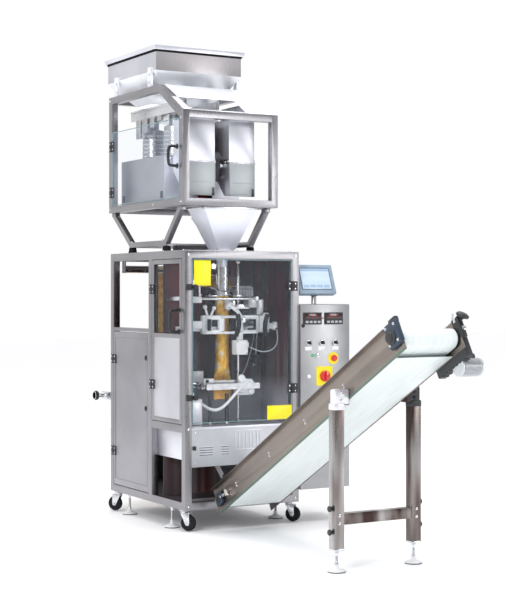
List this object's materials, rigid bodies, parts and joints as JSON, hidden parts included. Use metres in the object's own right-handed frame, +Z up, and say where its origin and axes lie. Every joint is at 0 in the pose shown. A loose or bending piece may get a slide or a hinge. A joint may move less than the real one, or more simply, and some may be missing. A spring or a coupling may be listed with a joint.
{
  "type": "vertical form fill sealer",
  "caption": "Bag-making machine on casters: weigher and hopper on top, film reel behind, jaws inside, sloping take-off conveyor in front.",
  "frame": {"origin": "centre of the whole footprint at floor level", "axes": "+X to the machine's right, +Y to its rear, +Z up"},
  "size_m": [1.054, 3.005, 2.641],
  "materials": {
    "stainless": "brushed",
    "bright_steel": "polished",
    "dark_steel": "brushed, reflecting dark",
    "pale_sheet": "bead blasted",
    "rubber": "matte",
    "clear_plastic": "clear sheet",
    "film": "printed film",
    "white_plastic": "painted",
    "belt": "smooth belt",
    "cast_black": "black",
    "grey_box": "fine brushed",
    "red_plastic": "moulded"
  },
  "bodies": {
    "machine": {"cabinet_frame": "stainless", "deck_plate": "stainless", "right_side_skin": "stainless", "rear_skin": "stainless", "discharge_chute": "stainless", "weigher_stand": "stainless", "weigher_frame": "stainless", "feeder_pan": "stainless", "vibrator_housing": "stainless", "conveyor_stand": "stainless", "mounting_wall": "dark_steel", "conveyor_frame": "dark_steel", "table_panel": "pale_sheet", "product_funnel": "pale_sheet", "feed_hopper": "pale_sheet", "weigh_bucket_left": "pale_sheet", "weigh_bucket_right": "pale_sheet", "forming_tube": "bright_steel", "forming_collar": "bright_steel", "jaw_guide_rods": "bright_steel", "reel_holder": "bright_steel", "conveyor_foot_left": "bright_steel", "conveyor_foot_right": "bright_steel", "screw_foot_front_left": "bright_steel", "screw_foot_front_right": "bright_steel", "screw_foot_rear_left": "bright_steel", "screw_foot_rear_right": "bright_steel", "film_bag": "film", "pulldown_unit": "white_plastic", "conveyor_belt": "belt", "gear_motor": "cast_black", "control_box": "grey_box"},
    "front_side_door_body": {"front_side_door": "stainless"},
    "rear_side_door_body": {"rear_side_door": "stainless"},
    "front_door_body": {"front_door": "clear_plastic"},
    "control_door_body": {"control_door": "grey_box"},
    "operator_panel_body": {"operator_panel": "grey_box"},
    "main_switch_body": {"main_switch": "red_plastic"},
    "stop_button_body": {"stop_button": "red_plastic"},
    "selector_1_body": {"selector_1": "cast_black"},
    "selector_2_body": {"selector_2": "cast_black"},
    "selector_3_body": {"selector_3": "cast_black"},
    "vertical_sealer_body": {"vertical_sealer": "bright_steel"},
    "front_jaw_body": {"front_jaw": "stainless"},
    "rear_jaw_body": {"rear_jaw": "stainless"},
    "film_reel_body": {"film_reel": "film"},
    "guide_roller_body": {"guide_roller": "bright_steel"},
    "bucket_gate_left_body": {"bucket_gate_left": "stainless"},
    "bucket_gate_right_body": {"bucket_gate_right": "stainless"},
    "weigher_side_door_body": {"weigher_side_door": "clear_plastic"},
    "head_roller_body": {"head_roller": "bright_steel"},
    "tail_roller_body": {"tail_roller": "bright_steel"},
    "caster_fork_front_left_body": {"caster_fork_front_left": "bright_steel"},
    "caster_fork_front_right_body": {"caster_fork_front_right": "bright_steel"},
    "caster_fork_rear_left_body": {"caster_fork_rear_left": "bright_steel"},
    "caster_fork_rear_right_body": {"caster_fork_rear_right": "bright_steel"},
    "caster_wheel_front_left_body": {"caster_wheel_front_left": "rubber"},
    "caster_wheel_front_right_body": {"caster_wheel_front_right": "rubber"},
    "caster_wheel_rear_left_body": {"caster_wheel_rear_left": "rubber"},
    "caster_wheel_rear_right_body": {"caster_wheel_rear_right": "rubber"}
  },
  "joints": [
    {"name": "front_side_door_hinge", "type": "hinge", "parent": "machine", "child": "front_side_door_body", "pos_m": [-0.497, 0.63753, 1], "axis": [0, 0, -1], "range_deg": [0, 90]},
    {"name": "rear_side_door_hinge", "type": "hinge", "parent": "machine", "child": "rear_side_door_body", "pos_m": [-0.497, 1.13953, 0.6], "axis": [0, 0, -1], "range_deg": [0, 110]},
    {"name": "front_door_hinge", "type": "hinge", "parent": "machine", "child": "front_door_body", "pos_m": [0.16, 0.24253, 1], "axis": [0, 0, 1], "range_deg": [0, 90]},
    {"name": "control_door_hinge", "type": "hinge", "parent": "machine", "child": "control_door_body", "pos_m": [0.527, 0.24253, 0.7], "axis": [0, 0, 1], "range_deg": [0, 110]},
    {"name": "operator_panel_swivel", "type": "hinge", "parent": "machine", "child": "operator_panel_body", "pos_m": [0.34024, 0.30253, 1.245], "axis": [0, 0, 1], "range_deg": [-45, 45]},
    {"name": "main_switch_turn", "type": "hinge", "parent": "control_door_body", "child": "main_switch_body", "pos_m": [0.35956, 0.22453, 0.8], "axis": [0, 1, 0], "range_deg": [0, 90]},
    {"name": "stop_button_push", "type": "slide", "parent": "control_door_body", "child": "stop_button_body", "axis": [0, 1, 0], "range_m": [0, 0.006], "stiffness_N_per_m": 600},
    {"name": "selector_1_turn", "type": "hinge", "parent": "control_door_body", "child": "selector_1_body", "pos_m": [0.25652, 0.22453, 0.986], "axis": [0, 1, 0], "range_deg": [-45, 45]},
    {"name": "selector_2_turn", "type": "hinge", "parent": "control_door_body", "child": "selector_2_body", "pos_m": [0.34346, 0.22453, 0.986], "axis": [0, 1, 0], "range_deg": [-45, 45]},
    {"name": "selector_3_turn", "type": "hinge", "parent": "control_door_body", "child": "selector_3_body", "pos_m": [0.4304, 0.22453, 0.986], "axis": [0, 1, 0], "range_deg": [-45, 45]},
    {"name": "vertical_sealer_press", "type": "slide", "parent": "machine", "child": "vertical_sealer_body", "axis": [0, 1, 0], "range_m": [0, 0.012]},
    {"name": "front_jaw_close", "type": "slide", "parent": "machine", "child": "front_jaw_body", "axis": [0, 1, 0], "range_m": [0, 0.035]},
    {"name": "rear_jaw_close", "type": "slide", "parent": "machine", "child": "rear_jaw_body", "axis": [0, 1, 0], "range_m": [-0.035, 0]},
    {"name": "film_reel_spin", "type": "hinge", "parent": "machine", "child": "film_reel_body", "pos_m": [-0.147, 1.35253, 0.655], "axis": [1, 0, 0], "continuous": true},
    {"name": "guide_roller_spin", "type": "hinge", "parent": "machine", "child": "guide_roller_body", "pos_m": [-0.147, 1.09253, 1.395], "axis": [1, 0, 0], "continuous": true},
    {"name": "bucket_gate_left_swing", "type": "hinge", "parent": "machine", "child": "bucket_gate_left_body", "pos_m": [-0.272, 0.47523, 1.978], "axis": [-1, 0, 0], "range_deg": [0, 40]},
    {"name": "bucket_gate_right_swing", "type": "hinge", "parent": "machine", "child": "bucket_gate_right_body", "pos_m": [-0.022, 0.47523, 1.978], "axis": [-1, 0, 0], "range_deg": [0, 40]},
    {"name": "weigher_side_door_hinge", "type": "hinge", "parent": "machine", "child": "weigher_side_door_body", "pos_m": [-0.443, 1.28453, 1.98], "axis": [0, 0, -1], "range_deg": [0, 100]},
    {"name": "head_roller_spin", "type": "hinge", "parent": "machine", "child": "head_roller_body", "pos_m": [-0.177, -1.41131, 1.05547], "axis": [1, 0, 0], "continuous": true},
    {"name": "tail_roller_spin", "type": "hinge", "parent": "machine", "child": "tail_roller_body", "pos_m": [-0.177, 0.14446, 0.18241], "axis": [1, 0, 0], "continuous": true},
    {"name": "caster_front_left_swivel", "type": "hinge", "parent": "machine", "child": "caster_fork_front_left_body", "pos_m": [-0.471, 0.30453, 0.1], "axis": [0, 0, 1], "continuous": true},
    {"name": "caster_front_left_roll", "type": "hinge", "parent": "caster_fork_front_left_body", "child": "caster_wheel_front_left_body", "pos_m": [-0.45609, 0.28323, 0.044], "axis": [0.8192, 0.5736, 0], "continuous": true},
    {"name": "caster_front_right_swivel", "type": "hinge", "parent": "machine", "child": "caster_fork_front_right_body", "pos_m": [0.177, 0.30453, 0.1], "axis": [0, 0, 1], "continuous": true},
    {"name": "caster_front_right_roll", "type": "hinge", "parent": "caster_fork_front_right_body", "child": "caster_wheel_front_right_body", "pos_m": [0.19191, 0.28323, 0.044], "axis": [0.8192, 0.5736, 0], "continuous": true},
    {"name": "caster_rear_left_swivel", "type": "hinge", "parent": "machine", "child": "caster_fork_rear_left_body", "pos_m": [-0.471, 1.12053, 0.1], "axis": [0, 0, 1], "continuous": true},
    {"name": "caster_rear_left_roll", "type": "hinge", "parent": "caster_fork_rear_left_body", "child": "caster_wheel_rear_left_body", "pos_m": [-0.48591, 1.14183, 0.044], "axis": [0.8192, 0.5736, 0], "continuous": true},
    {"name": "caster_rear_right_swivel", "type": "hinge", "parent": "machine", "child": "caster_fork_rear_right_body", "pos_m": [0.177, 1.12053, 0.1], "axis": [0, 0, 1], "continuous": true},
    {"name": "caster_rear_right_roll", "type": "hinge", "parent": "caster_fork_rear_right_body", "child": "caster_wheel_rear_right_body", "pos_m": [0.16209, 1.14183, 0.044], "axis": [0.8192, 0.5736, 0], "continuous": true}
  ],
  "couplings": [
    {"joint": "rear_jaw_close", "follows": "front_jaw_close", "ratio": -1},
    {"joint": "tail_roller_spin", "follows": "head_roller_spin", "ratio": 1}
  ]
}
